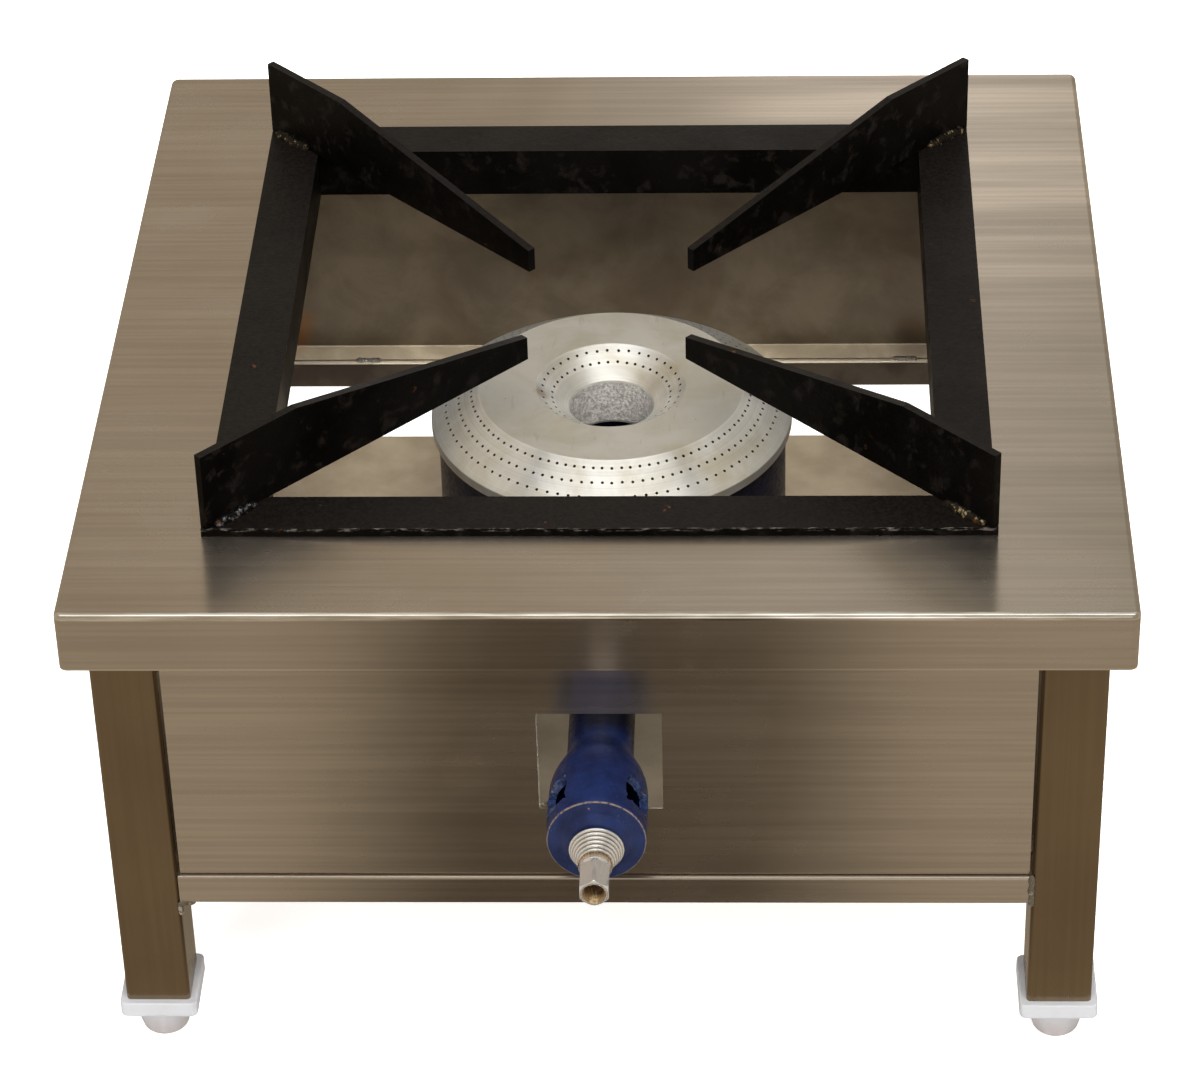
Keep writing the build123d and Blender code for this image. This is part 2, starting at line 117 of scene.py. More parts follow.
class Graph:
    """Short-hand for a node tree."""

    def __init__(self, tree):
        self.tree = tree
        tree.nodes.clear()

    def node(self, kind, **settings):
        made = self.tree.nodes.new(kind)
        for key, value in settings.items():
            setattr(made, key, value)
        return made

    def put(self, socket, value):
        """Links value if it is an output, or sets it as the socket's own value."""
        if isinstance(value, bpy.types.NodeSocket):
            self.tree.links.new(value, socket)
        elif value is not None:
            if socket.type == "RGBA" and len(value) == 3:
                value = (*value, 1.0)
            socket.default_value = value

    def math(self, operation, a, b=None, c=None, clamp=False):
        made = self.node("ShaderNodeMath", operation=operation, use_clamp=clamp)
        for socket, value in zip(made.inputs, (a, b, c)):
            self.put(socket, value)
        return made.outputs[0]

    def vector(self, operation, a, b=None, output=0):
        made = self.node("ShaderNodeVectorMath", operation=operation)
        self.put(made.inputs[0], a)
        self.put(made.inputs[1], b)
        return made.outputs[output]

    def split(self, vector):
        made = self.node("ShaderNodeSeparateXYZ")
        self.put(made.inputs[0], vector)
        return made.outputs

    def join(self, x, y, z):
        made = self.node("ShaderNodeCombineXYZ")
        for socket, value in zip(made.inputs, (x, y, z)):
            self.put(socket, value)
        return made.outputs[0]

    def span(self, value, low, high, to_low=0.0, to_high=1.0, smooth=True):
        """Maps low..high on to to_low..to_high, and stays at the ends beyond."""
        made = self.node("ShaderNodeMapRange", interpolation_type="SMOOTHSTEP" if smooth else "LINEAR")
        for socket, item in zip(made.inputs, (value, low, high, to_low, to_high)):
            self.put(socket, item)
        return made.outputs[0]

    def mix(self, factor, a, b, blend="MIX"):
        made = self.node("ShaderNodeMix", data_type="RGBA", blend_type=blend)
        for socket, value in zip((made.inputs[0], made.inputs[6], made.inputs[7]), (factor, a, b)):
            self.put(socket, value)
        return made.outputs[2]

    def scaled(self, vector, factors):
        return self.vector("MULTIPLY", vector, factors)

    def noise(self, vector, scale=1.0, detail=3.0, roughness=0.55, distortion=0.0):
        made = self.node("ShaderNodeTexNoise")
        for name, value in (
            ("Vector", vector),
            ("Scale", scale),
            ("Detail", detail),
            ("Roughness", roughness),
            ("Distortion", distortion),
        ):
            self.put(made.inputs[name], value)
        return made.outputs[0]

    def bump(self, height, distance, strength=1.0, normal=None):
        made = self.node("ShaderNodeBump")
        for name, value in (("Height", height), ("Distance", distance), ("Strength", strength)):
            self.put(made.inputs[name], value)
        self.put(made.inputs["Normal"], normal)
        return made.outputs[0]


class Paint(Graph):
    """A material with one Principled shader, and the object's own coordinates at hand."""

    def __init__(self, name):
        self.material = bpy.data.materials.new(name)
        self.material.use_nodes = True
        super().__init__(self.material.node_tree)
        self.shader = self.node("ShaderNodeBsdfPrincipled")
        out = self.node("ShaderNodeOutputMaterial")
        self.tree.links.new(self.shader.outputs[0], out.inputs[0])
        self.place = self.node("ShaderNodeTexCoord").outputs["Object"]
        self.normal = self.node("ShaderNodeNewGeometry").outputs["Normal"]

    def set(self, **values):
        for name, value in values.items():
            self.put(self.shader.inputs[name.replace("_", " ")], value)
        return self

    def distance(self, a, b):
        """Length of the vector (a, b)."""
        squares = self.math("ADD", self.math("MULTIPLY", a, a), self.math("MULTIPLY", b, b))
        return self.math("SQRT", squares)

    def spot(self, at, radius, soft=0.5, wobble=0.3, scale=60.0):
        """1 near a point, 0 beyond the radius, with an uneven edge."""
        offset = self.vector("DISTANCE", self.place, at, output=1)
        uneven = self.noise(self.place, scale, 3.0)
        offset = self.math("MULTIPLY_ADD", self.math("SUBTRACT", uneven, 0.5), 2 * wobble * radius, offset)
        return self.span(offset, radius * soft, radius, 1.0, 0.0)


# The world is a soft studio. Metal mirrors a warm, uneven wall in it; everything else sees even grey.
world = bpy.data.worlds.new("studio")
scene.world = world
world.use_nodes = True
sky = Graph(world.node_tree)
out = sky.node("ShaderNodeOutputWorld")
direction = sky.node("ShaderNodeTexCoord").outputs["Generated"]
east, north, up = sky.split(direction)
to_front = sky.math("DIVIDE", sky.math("MULTIPLY", north, -1.0), sky.math("MAXIMUM", up, 0.05))
high = sky.span(up, 0.6, 0.8)
beside = sky.span(sky.math("ABSOLUTE", east), 0.75, 0.3)
main_lamp = sky.span(sky.math("ABSOLUTE", sky.math("SUBTRACT", to_front, 0.3)), 0.34, 0.16)
second_lamp = sky.span(sky.math("ABSOLUTE", sky.math("ADD", to_front, 0.3)), 0.16, 0.06)
low_down = sky.span(up, 0.57, 0.47)
lobe = sky.span(sky.math("ABSOLUTE", sky.math("SUBTRACT", east, 0.03)), 0.10, 0.0)
to_right = sky.span(east, -0.08, 0.06)
wall = sky.mix(to_right, (0.385, 0.31, 0.213), (0.30, 0.262, 0.195))
wall = sky.mix(sky.math("MULTIPLY", low_down, 0.25), wall, (0.62, 0.56, 0.52))
wall = sky.mix(sky.math("MULTIPLY", low_down, lobe), wall, (1.2, 1.14, 1.08))
high = sky.math("MULTIPLY", high, beside)
wall = sky.mix(sky.math("MULTIPLY", high, 0.6), wall, (0.5, 0.47, 0.42))
wall = sky.mix(sky.math("MULTIPLY", high, main_lamp), wall, (1.45, 1.42, 1.36))
wall = sky.mix(sky.math("MULTIPLY", high, second_lamp), wall, (0.9, 0.87, 0.82))
light_path = sky.node("ShaderNodeLightPath")
seen = sky.mix(light_path.outputs["Is Glossy Ray"], (0.8, 0.8, 0.8), wall)
seen = sky.mix(light_path.outputs["Is Camera Ray"], seen, (0.93, 0.93, 0.93))
backdrop = sky.node("ShaderNodeBackground")
sky.put(backdrop.inputs["Color"], seen)
sky.put(backdrop.inputs["Strength"], 1.0)
sky.tree.links.new(backdrop.outputs[0], out.inputs[0])


def stage_plane(name, size, z, material):
    mesh = bpy.data.meshes.new(name)
    corners = [(x * size, y * size + stand_y, z) for x, y in ((-1, -1), (1, -1), (1, 1), (-1, 1))]
    mesh.from_pydata(corners, [], [(0, 1, 2, 3)])
    mesh.materials.append(material)
    plane = bpy.data.objects.new(name, mesh)
    scene.collection.objects.link(plane)
    return plane


paper = Paint("floor_paper")
paper_grain = paper.noise(paper.place, 40.0, 2.0)
paper.set(
    Base_Color=paper.mix(paper_grain, (0.86, 0.86, 0.86), (0.88, 0.88, 0.88)),
    Roughness=0.9,
    Specular_IOR_Level=0.1,
    Emission_Color=(1.0, 1.0, 1.0),
    Emission_Strength=0.62,
)
floor = stage_plane("floor", 12.0, 0.0, paper.material)
floor.visible_glossy = False

# Seen only in mirrors: polished metal reflects this warm card, dark in front of the stand, not the floor.
card = Paint("floor_card")
card_x, card_y = card.split(card.place)[:2]
beside = card.span(card.math("ABSOLUTE", card.math("ADD", card_x, 0.012)), 0.07, 0.24)
behind = card.span(card_y, skirt_y + 0.05, skirt_y + 0.3)
lit = card.math("MAXIMUM", beside, behind)
glow = card.mix(lit, (0.092, 0.070, 0.045), (0.42, 0.35, 0.262))
emission = card.node("ShaderNodeEmission")
card.put(emission.inputs[0], glow)
card.tree.links.new(emission.outputs[0], card.tree.nodes["Material Output"].inputs[0])
card_plane = stage_plane("floor_card", 12.0, -0.004, card.material)
card_plane.visible_camera = False
card_plane.visible_diffuse = False
card_plane.visible_shadow = False
card_plane.visible_transmission = False


# ---------------------------------------------------------------- materials
def grain_vector(paint, axis, along=5.0, across=320.0):
    """Coordinates stretched so that noise becomes lines along an axis."""
    factors = [across] * 3
    factors["xyz".index(axis)] = along
    return paint.scaled(paint.place, tuple(factors))


def steel(name, axis, tint=(0.56, 0.5, 0.43), rough=0.25, aniso=0.88, contrast=1.0, extra=None):
    """Brushed stainless steel with lines along an axis and cloudy buffing."""
    paint = Paint(name)
    nx, ny, nz = paint.split(paint.normal)
    if axis == "sheet":
        side = paint.math("GREATER_THAN", paint.math("ABSOLUTE", nx), 0.7)
        fine_x = paint.noise(grain_vector(paint, "x"), detail=1.0)
        fine_y = paint.noise(grain_vector(paint, "y"), detail=1.0)
        fine = paint.math("MULTIPLY_ADD", side, paint.math("SUBTRACT", fine_y, fine_x), fine_x)
        broad = paint.noise(grain_vector(paint, "x", 1.6, 36.0), detail=4.0)
    else:
        fine = paint.noise(grain_vector(paint, axis), detail=1.0)
        broad = paint.noise(grain_vector(paint, axis, 1.6, 36.0), detail=4.0)
    cloud = paint.noise(paint.place, 7.0, 4.0, 0.6, 0.4)
    level = paint.span(broad, 0.3, 0.7, 1 - 0.03 * contrast, 1 + 0.03 * contrast)
    line_level = paint.span(fine, 0.3, 0.7, 1 - 0.05 * contrast, 1 + 0.05 * contrast)
    level = paint.math("MULTIPLY", level, line_level)
    level = paint.math("MULTIPLY", level, paint.span(cloud, 0.3, 0.7, 0.97, 1.03))
    colour = paint.mix(1.0, tint, paint.join(level, level, level), "MULTIPLY")
    roughness = paint.math("MULTIPLY_ADD", paint.span(cloud, 0.3, 0.7), 0.05, rough - 0.03)
    roughness = paint.math("MULTIPLY_ADD", paint.span(broad, 0.3, 0.7), 0.03, roughness)
    paint.set(Metallic=1.0)
    if extra:
        colour, roughness = extra(paint, colour, roughness)
    top = paint.math("ABSOLUTE", nz)
    if axis == "z":
        tangent = paint.join(ny, nx, 0.0)
    else:
        tangent = paint.join(0.0, top, paint.math("SUBTRACT", 1.0, top))
    paint.set(
        Base_Color=colour,
        Roughness=roughness,
        Anisotropic=aniso,
        Tangent=tangent,
    )
    return paint.material


def plate_sheen_and_wear(paint, colour, roughness):
    """Painted reflection: brighter cross bands at the back right of the plate. Painted highlights along the
    front fold and the skirt's lower edge, broken up by rub noise.
    """
    x, y, z = paint.split(paint.place)
    on_right = paint.span(x, 0.03, 0.12)
    # Painted reflection: noisy cross bands brighten the back right of the plate.
    bands = paint.noise(paint.scaled(paint.place, (1.5, 26.0, 1.0)), 1.0, 3.0, 0.5)
    reflection_level = paint.span(bands, 0.38, 0.6, 1.03, 1.44)
    amount = paint.math("MULTIPLY", on_right, paint.span(y, skirt_y + 0.27, skirt_y + 0.4))
    reflection_level = paint.math("MULTIPLY_ADD", amount, paint.math("SUBTRACT", reflection_level, 1.0), 1.0)
    colour = paint.mix(1.0, colour, paint.join(reflection_level, reflection_level, reflection_level), "MULTIPLY")
    # Painted highlight: a near-white colour along the plate's front fold, broken up by rub noise.
    near_front = paint.span(y, skirt_y + 0.0042, skirt_y + 0.003)
    near_top = paint.span(z, plate_z - 0.0042, plate_z - 0.003)
    edge = paint.math("MULTIPLY", near_front, near_top)
    rub = paint.noise(paint.scaled(paint.place, (22.0, 300.0, 300.0)), 1.0, 3.0, 0.6)
    fold_highlight_colour = paint.mix(paint.span(rub, 0.35, 0.65), (0.62, 0.58, 0.51), (0.95, 0.92, 0.87))
    colour = paint.mix(edge, colour, fold_highlight_colour)
    # Painted highlight: a paler band just above the skirt's lower edge.
    lower_edge_highlight = paint.span(z, skirt_z + 0.0014, skirt_z + 0.0007, 0.0, 0.6)
    colour = paint.mix(lower_edge_highlight, colour, (0.82, 0.76, 0.66))
    smudge = paint.span(paint.noise(paint.place, 16.0, 5.0, 0.65), 0.56, 0.75)
    roughness = paint.math("MULTIPLY_ADD", smudge, 0.05, roughness)
    roughness = paint.math("MULTIPLY_ADD", edge, paint.math("SUBTRACT", 0.1, roughness), roughness)
    return colour, roughness


def inside_heat_and_shade(paint, colour, roughness):
    """Dull inner face: mottled, with painted shade darkening it towards the top right, heat tints and rust
    low down.
    """
    x, _, z = paint.split(paint.place)
    _, ny, nz = paint.split(paint.normal)
    inward = paint.math("LESS_THAN", ny, -0.3)
    mottle = paint.noise(paint.place, 24.0, 6.0, 0.62, 0.4)
    brown = paint.noise(paint.place, 8.0, 4.0, 0.6, 0.8)
    dull = paint.mix(paint.span(mottle, 0.3, 0.7), (0.255, 0.235, 0.21), (0.37, 0.34, 0.30))
    dull = paint.mix(paint.span(brown, 0.46, 0.7, 0.0, 0.55), dull, (0.20, 0.155, 0.115))
    # Painted shade: the inner face darkens towards the top right.
    height = paint.math("MULTIPLY_ADD", x, 0.16, z)
    upper_painted_shade = paint.span(height, back_low[2] + 0.06, back_low[2] + 0.19, 0.0, 0.45)
    dull = paint.mix(upper_painted_shade, dull, (0.15, 0.13, 0.115))
    colour = paint.mix(inward, colour, dull)
    near_foot = paint.math("LESS_THAN", z, back_low[2] + 0.01)
    flange = paint.math("MULTIPLY", paint.math("GREATER_THAN", nz, 0.5), near_foot)
    flange_tan = paint.mix(paint.span(mottle, 0.35, 0.65), (0.32, 0.265, 0.185), (0.47, 0.40, 0.285))
    colour = paint.mix(flange, colour, flange_tan)
    for at, radius, shade in (
        ((-0.226, back_low[1] + 0.012, back_low[2] + 0.01), 0.014, (0.42, 0.19, 0.08)),
        ((-0.222, back_low[1] + 0.016, back_low[2] + 0.022), 0.013, (0.38, 0.24, 0.15)),
        ((0.195, back_low[1] + 0.012, back_low[2] + 0.012), 0.02, (0.2, 0.16, 0.12)),
    ):
        inside = paint.math("MAXIMUM", inward, flange)
        amount = paint.math("MULTIPLY", paint.spot(at, radius, soft=0.15), inside)
        colour = paint.mix(paint.math("MULTIPLY", amount, 0.85), colour, shade)
    roughness = paint.math("MULTIPLY_ADD", inward, 0.16, roughness)
    roughness = paint.math("MULTIPLY_ADD", flange, 0.2, roughness)
    paint.set(Metallic=paint.math("SUBTRACT", 1.0, flange))
    return colour, roughness


def shelf_dust(paint, colour, roughness):
    """The shelf is dull, dusty and a little rusty."""
    mottle = paint.noise(paint.place, 30.0, 5.0, 0.6)
    colour = paint.mix(paint.span(mottle, 0.3, 0.7), (0.235, 0.19, 0.131), (0.315, 0.26, 0.186))
    specks = paint.span(paint.noise(paint.place, 90.0, 3.0), 0.74, 0.79)
    colour = paint.mix(specks, colour, (0.22, 0.15, 0.09))
    paint.set(Metallic=0.15)
    return colour, paint.math("ADD", roughness, 0.22)


def rail_painted_shade_and_highlight(paint, colour, roughness):
    """Painted shade and highlight: the back rail's front face is painted dark, and its top and edges are
    painted bright tan.
    """
    ny = paint.split(paint.normal)[1]
    # Painted shade on the front face, painted highlight on the top and edges.
    face = paint.span(ny, -0.75, -0.97)
    cloud = paint.noise(paint.place, 30.0, 4.0)
    dark = paint.mix(paint.span(cloud, 0.35, 0.65), (0.085, 0.07, 0.062), (0.14, 0.118, 0.10))
    colour = paint.mix(face, (0.86, 0.76, 0.60), dark)
    paint.set(Metallic=paint.math("MULTIPLY_ADD", face, 0.3, 0.6))
    return colour, paint.math("MULTIPLY_ADD", face, 0.12, roughness)


def panel_fade(paint, colour, roughness):
    """A paler finger smear on the front panel."""
    finger = paint.spot((-0.072, panel_low[1], panel_low[2] + 0.075), 0.022, soft=0.2, wobble=0.5)
    fade = paint.math("MULTIPLY_ADD", finger, 0.12, 1.0)
    return paint.mix(1.0, colour, paint.join(fade, fade, fade), "MULTIPLY"), roughness


def leg_shade(paint, colour, roughness):
    """Legs are a darker brown than the sheet steel, and a little cloudy."""
    cloud = paint.noise(paint.place, 11.0, 3.0)
    fade = paint.span(cloud, 0.3, 0.7, 0.92, 1.06)
    return paint.mix(1.0, colour, paint.join(fade, fade, fade), "MULTIPLY"), roughness


leg_tint = (0.27, 0.205, 0.135)
steel_plate = steel("steel_plate", "sheet", rough=0.24, aniso=0.85, extra=plate_sheen_and_wear)
steel_x = steel("steel_brushed_across", "x", contrast=1.2)
steel_y = steel("steel_brushed_along", "y", contrast=1.2)
steel_legs = steel("steel_legs", "z", tint=leg_tint, rough=0.26, aniso=0.6, contrast=0.7, extra=leg_shade)
steel_front = steel("steel_front_panel", "x", contrast=1.3, extra=panel_fade)
steel_back = steel("steel_back_panel", "x", rough=0.28, aniso=0.2, contrast=0.3, extra=inside_heat_and_shade)
steel_shelf = steel("steel_shelf", "x", rough=0.27, aniso=0.2, contrast=0.5, extra=shelf_dust)
steel_back_rail = steel("steel_back_rail", "x", rough=0.26, extra=rail_painted_shade_and_highlight)


def black_steel(name):
    """Blackened mill-scale bar: grainy, with a painted highlight that makes its top faces paler, a little
    rust and a worn front edge.
    """
    paint = Paint(name)
    nz = paint.split(paint.normal)[2]
    _, y, z = paint.split(paint.place)
    grain = paint.noise(paint.place, 420.0, 4.0, 0.7)
    scale = paint.noise(paint.place, 85.0, 5.0, 0.65, 0.3)
    patch = paint.noise(paint.place, 16.0, 4.0, 0.6)
    rust_field = paint.noise(paint.vector("ADD", paint.place, (3.0, 1.0, 2.0)), 60.0, 5.0, 0.7)
    colour = paint.mix(paint.span(patch, 0.35, 0.65), (0.0007, 0.0006, 0.0005), (0.0022, 0.0018, 0.0015))
    colour = paint.mix(paint.span(scale, 0.52, 0.70), colour, (0.0075, 0.006, 0.005))
    # Painted highlight: faces that point up get a paler, grainy colour.
    on_top = paint.span(nz, 0.6, 0.95)
    top_painted_highlight = paint.mix(paint.span(grain, 0.35, 0.65), (0.0024, 0.0019, 0.0017), (0.0046, 0.0037, 0.0033))
    colour = paint.mix(on_top, colour, top_painted_highlight)
    colour = paint.mix(paint.span(rust_field, 0.66, 0.75, 0.0, 0.8), colour, (0.055, 0.024, 0.011))
    at_front = paint.span(y, bar_low[1] + 0.0012, bar_low[1] + 0.0006)
    rim = paint.math("MULTIPLY", at_front, paint.span(z, frame_z - 0.0022, frame_z - 0.001))
    rim = paint.math("MULTIPLY", rim, paint.math("LESS_THAN", z, frame_z + 0.0002))
    worn = paint.span(paint.noise(paint.scaled(paint.place, (130.0, 500.0, 500.0)), 1.0, 4.0, 0.7), 0.5, 0.66)
    colour = paint.mix(paint.math("MULTIPLY", rim, worn), colour, (0.085, 0.075, 0.066))
    roughness = paint.span(patch, 0.3, 0.7, 0.34, 0.5)
    roughness = paint.math("MULTIPLY_ADD", paint.span(rust_field, 0.6, 0.75), 0.3, roughness)
    paint.set(
        Base_Color=colour,
        Roughness=roughness,
        Metallic=0.0,
        Specular_IOR_Level=paint.math("MULTIPLY_ADD", on_top, 0.06, 0.07),
        Normal=paint.bump(grain, 0.00025, 0.5, paint.bump(scale, 0.0005, 0.5)),
    )
    return paint.material


def weld_metal(name, dark, bright, shine):
    """Solidified weld metal: ripples, scale and bare bright spots."""
    paint = Paint(name)
    flecks = paint.noise(paint.place, 260.0, 3.0, 0.6)
    burn = paint.noise(paint.place, 120.0, 3.0, 0.6)
    colour = paint.mix(paint.span(flecks, 0.54, 0.66), dark, bright)
    colour = paint.mix(paint.span(burn, 0.58, 0.7, 0.0, 0.7), colour, (0.16, 0.07, 0.025))
    paint.set(
        Base_Color=colour,
        Roughness=paint.span(flecks, 0.4, 0.65, 0.5, shine),
        Metallic=0.9,
        Normal=paint.bump(burn, 0.0006, 0.6),
    )
    return paint.material


def casting_paint(name, depth=1.0):
    """Navy enamel over a rough casting, chipped to brown metal at the rim and round the windows; a depth
    below 1 darkens the whole colour as painted shade.
    """
    paint = Paint(name)
    x, y, z = paint.split(paint.place)
    pits = paint.noise(paint.place, 330.0, 4.0, 0.6)
    cloud = paint.noise(paint.place, 60.0, 4.0, 0.6)
    lift = paint.math("SUBTRACT", z, axis_z)
    around = paint.distance(x, lift)
    colour = paint.mix(paint.span(cloud, 0.3, 0.7), (0.0018, 0.0045, 0.024), (0.0036, 0.0095, 0.044))
    colour = paint.mix(paint.span(pits, 0.6, 0.72, 0.0, 0.7), colour, (0.002, 0.004, 0.018))
    glitter = paint.span(paint.noise(paint.place, 900.0, 2.0), 0.66, 0.74)
    colour = paint.mix(glitter, colour, (0.010, 0.03, 0.11))
    # Painted shade: a depth below 1 darkens the whole enamel.
    colour = paint.mix(1.0, colour, (depth, depth, depth), "MULTIPLY")
    rim = paint.math(
        "MULTIPLY",
        paint.span(around, 0.0271, 0.02745),
        paint.span(y, tube_low[1] + 0.0066, tube_low[1] + 0.0058),
    )
    worn = paint.noise(paint.place, 420.0, 3.0, 0.7)
    rim = paint.math("MULTIPLY", rim, paint.span(worn, 0.34, 0.5))
    colour = paint.mix(rim, colour, (0.10, 0.075, 0.058))
    chips = paint.span(paint.noise(paint.place, 150.0, 5.0, 0.7, 0.5), 0.70, 0.74)
    colour = paint.mix(chips, colour, (0.16, 0.09, 0.05))
    paint.set(
        Base_Color=colour,
        Roughness=paint.span(pits, 0.3, 0.7, 0.32, 0.5),
        Specular_IOR_Level=0.35,
        Normal=paint.bump(pits, 0.0005, 0.55),
    )
    return paint.material


def window_cut(name):
    """Rough edge of the bell's windows: gritty dark blue with dust and specks of rust."""
    paint = Paint(name)
    grit = paint.noise(paint.place, 480.0, 4.0, 0.7)
    colour = paint.mix(paint.span(grit, 0.4, 0.6), (0.0015, 0.004, 0.018), (0.009, 0.021, 0.07))
    dust = paint.span(paint.noise(paint.place, 330.0, 3.0), 0.58, 0.7, 0.0, 0.7)
    rust = paint.span(paint.noise(paint.place, 220.0, 3.0), 0.66, 0.74)
    colour = paint.mix(rust, paint.mix(dust, colour, (0.045, 0.055, 0.085)), (0.3, 0.17, 0.1))
    paint.set(Base_Color=colour, Roughness=0.55, Normal=paint.bump(grit, 0.0005, 0.6))
    return paint.material


def turned_aluminium(name):
    """Turned casting: fine rings about the burner's axis, cloudy heat stains and a few pits; the flat top is
    painted darker than the cones as painted shade.
    """
    paint = Paint(name)
    x, y, z = paint.split(paint.place)
    away = paint.math("SUBTRACT", y, stand_y)
    radius = paint.distance(x, away)
    fine = paint.noise(paint.join(radius, 0.0, z), 900.0, 2.0)
    broad = paint.noise(paint.join(radius, 0.0, z), 170.0, 2.0)
    cloud = paint.noise(paint.place, 26.0, 5.0, 0.62, 0.5)
    pits = paint.span(paint.noise(paint.place, 300.0, 2.0), 0.74, 0.8)
    flat = paint.span(paint.split(paint.normal)[2], 0.93, 0.985)
    line_level = paint.span(fine, 0.3, 0.7, 0.95, 1.05)
    level = paint.math("MULTIPLY", line_level, paint.span(broad, 0.35, 0.65, 0.95, 1.05))
    level = paint.math("MULTIPLY_ADD", flat, paint.math("SUBTRACT", 1.0, level), level)
    shifted = paint.vector("ADD", paint.place, (2.0, 0.0, 0.0))
    scratch = paint.noise(paint.scaled(shifted, (260.0, 45.0, 1.0)), 1.0, 2.0)
    scratched = paint.math("MULTIPLY", flat, paint.span(scratch, 0.66, 0.74, 0.0, 0.12))
    level = paint.math("SUBTRACT", level, scratched)
    # Painted shade: the flat top takes a darker copy of the colour than the cones, which keep the turned
    # rings.
    bright = paint.mix(paint.span(cloud, 0.35, 0.7), (0.70, 0.70, 0.68), (0.57, 0.55, 0.48))
    dull = paint.mix(paint.span(cloud, 0.35, 0.7), (0.56, 0.55, 0.51), (0.48, 0.46, 0.39))
    colour = paint.mix(flat, bright, dull)
    colour = paint.mix(1.0, colour, paint.join(level, level, level), "MULTIPLY")
    straw = paint.noise(paint.vector("ADD", paint.place, (5.0, 2.0, 1.0)), 18.0, 4.0, 0.6)
    colour = paint.mix(paint.span(straw, 0.55, 0.72, 0.0, 0.6), colour, (0.50, 0.44, 0.31))
    for at, spot_radius, strength in (
        ((0.084, stand_y + 0.034, ring_z - 0.006), 0.009, 0.6),
        ((0.094, stand_y + 0.022, ring_z - 0.012), 0.006, 0.8),
        ((-0.043, stand_y - 0.006, ring_z - 0.003), 0.007, 0.5),
    ):
        stain = paint.math("MULTIPLY", paint.spot(at, spot_radius, soft=0.2, scale=200.0), strength)
        colour = paint.mix(stain, colour, (0.42, 0.24, 0.12))
    colour = paint.mix(pits, colour, (0.2, 0.19, 0.17))
    tangent = paint.vector("NORMALIZE", paint.join(x, away, 0.0))
    paint.set(
        Base_Color=colour,
        Roughness=paint.math("MULTIPLY_ADD", flat, 0.06, paint.span(cloud, 0.3, 0.7, 0.28, 0.36)),
        Metallic=0.85,
        Anisotropic=0.3,
        Tangent=tangent,
        Normal=paint.bump(fine, 0.00006, 0.4),
    )
    return paint.material


def cast_aluminium(name, dark=1.0):
    """As-cast aluminium: sand texture, matt; a dark factor below 1 darkens the colour as painted shade."""
    paint = Paint(name)
    sand = paint.noise(paint.place, 520.0, 5.0, 0.7)
    cloud = paint.noise(paint.place, 80.0, 3.0)
    low, high = [tuple(dark * c for c in shade) for shade in ((0.28, 0.27, 0.255), (0.66, 0.635, 0.60))]
    colour = paint.mix(paint.span(sand, 0.35, 0.65), low, high)
    colour = paint.mix(paint.span(cloud, 0.4, 0.7, 0.0, 0.4), colour, low)
    paint.set(
        Base_Color=colour,
        Roughness=paint.span(sand, 0.3, 0.7, 0.5, 0.7),
        Metallic=0.4,
        Normal=paint.bump(sand, 0.0008, 0.8),
    )
    return paint.material


def plating(name, tint, rough, wear, smut=(0.2, 0.16, 0.12), metal=0.9):
    """Bright plated or turned small hardware with drawn lines and a little smut."""
    paint = Paint(name)
    lines = paint.noise(paint.scaled(paint.place, (900.0, 30.0, 900.0)), 1.0, 2.0)
    smear = paint.noise(paint.place, 160.0, 4.0, 0.6)
    colour = paint.mix(paint.span(smear, 0.5, 0.72, 0.0, wear), tint, smut)
    paint.set(
        Base_Color=colour,
        Roughness=paint.span(lines, 0.3, 0.7, rough, rough + 0.12),
        Metallic=metal,
        Normal=paint.bump(lines, 0.00005, 0.4),
    )
    return paint.material


def plastic(name):
    """Natural white moulded plastic, a little translucent, scuffed, and darker near the floor."""
    paint = Paint(name)
    z = paint.split(paint.place)[2]
    mould = paint.noise(paint.place, 260.0, 3.0)
    scuff = paint.noise(paint.place, 70.0, 5.0, 0.7)
    low = paint.span(z, 0.024, 0.004)
    colour = paint.mix(paint.span(scuff, 0.5, 0.75, 0.0, 0.25), (0.30, 0.305, 0.32), (0.25, 0.232, 0.222))
    colour = paint.mix(paint.math("MULTIPLY", low, 0.7), colour, (0.235, 0.205, 0.195))
    paint.set(
        Base_Color=colour,
        Roughness=paint.span(mould, 0.3, 0.7, 0.36, 0.48),
        Subsurface_Weight=0.35,
        Subsurface_Radius=(0.012, 0.012, 0.014),
        Normal=paint.bump(mould, 0.0002, 0.3),
    )
    return paint.material


black_bar = black_steel("black_steel")
black_weld = weld_metal("weld_black", (0.006, 0.006, 0.007), (0.16, 0.16, 0.17), 0.08)
brassy_weld = weld_metal("weld_brassy", (0.02, 0.016, 0.012), (0.36, 0.29, 0.16), 0.25)
silver_weld = weld_metal("weld_silver", (0.5, 0.48, 0.44), (0.9, 0.88, 0.86), 0.18)
grey_weld = weld_metal("weld_grey", (0.2, 0.18, 0.14), (0.5, 0.47, 0.4), 0.3)
navy = casting_paint("navy_enamel")
# Painted shade: the drum takes the enamel's colour at 35 %.
navy_drum_painted_shade = casting_paint("navy_drum_painted_shade", 0.35)
navy_cut = window_cut("navy_filed_edge")
turned = turned_aluminium("turned_aluminium")
cast = cast_aluminium("cast_aluminium")
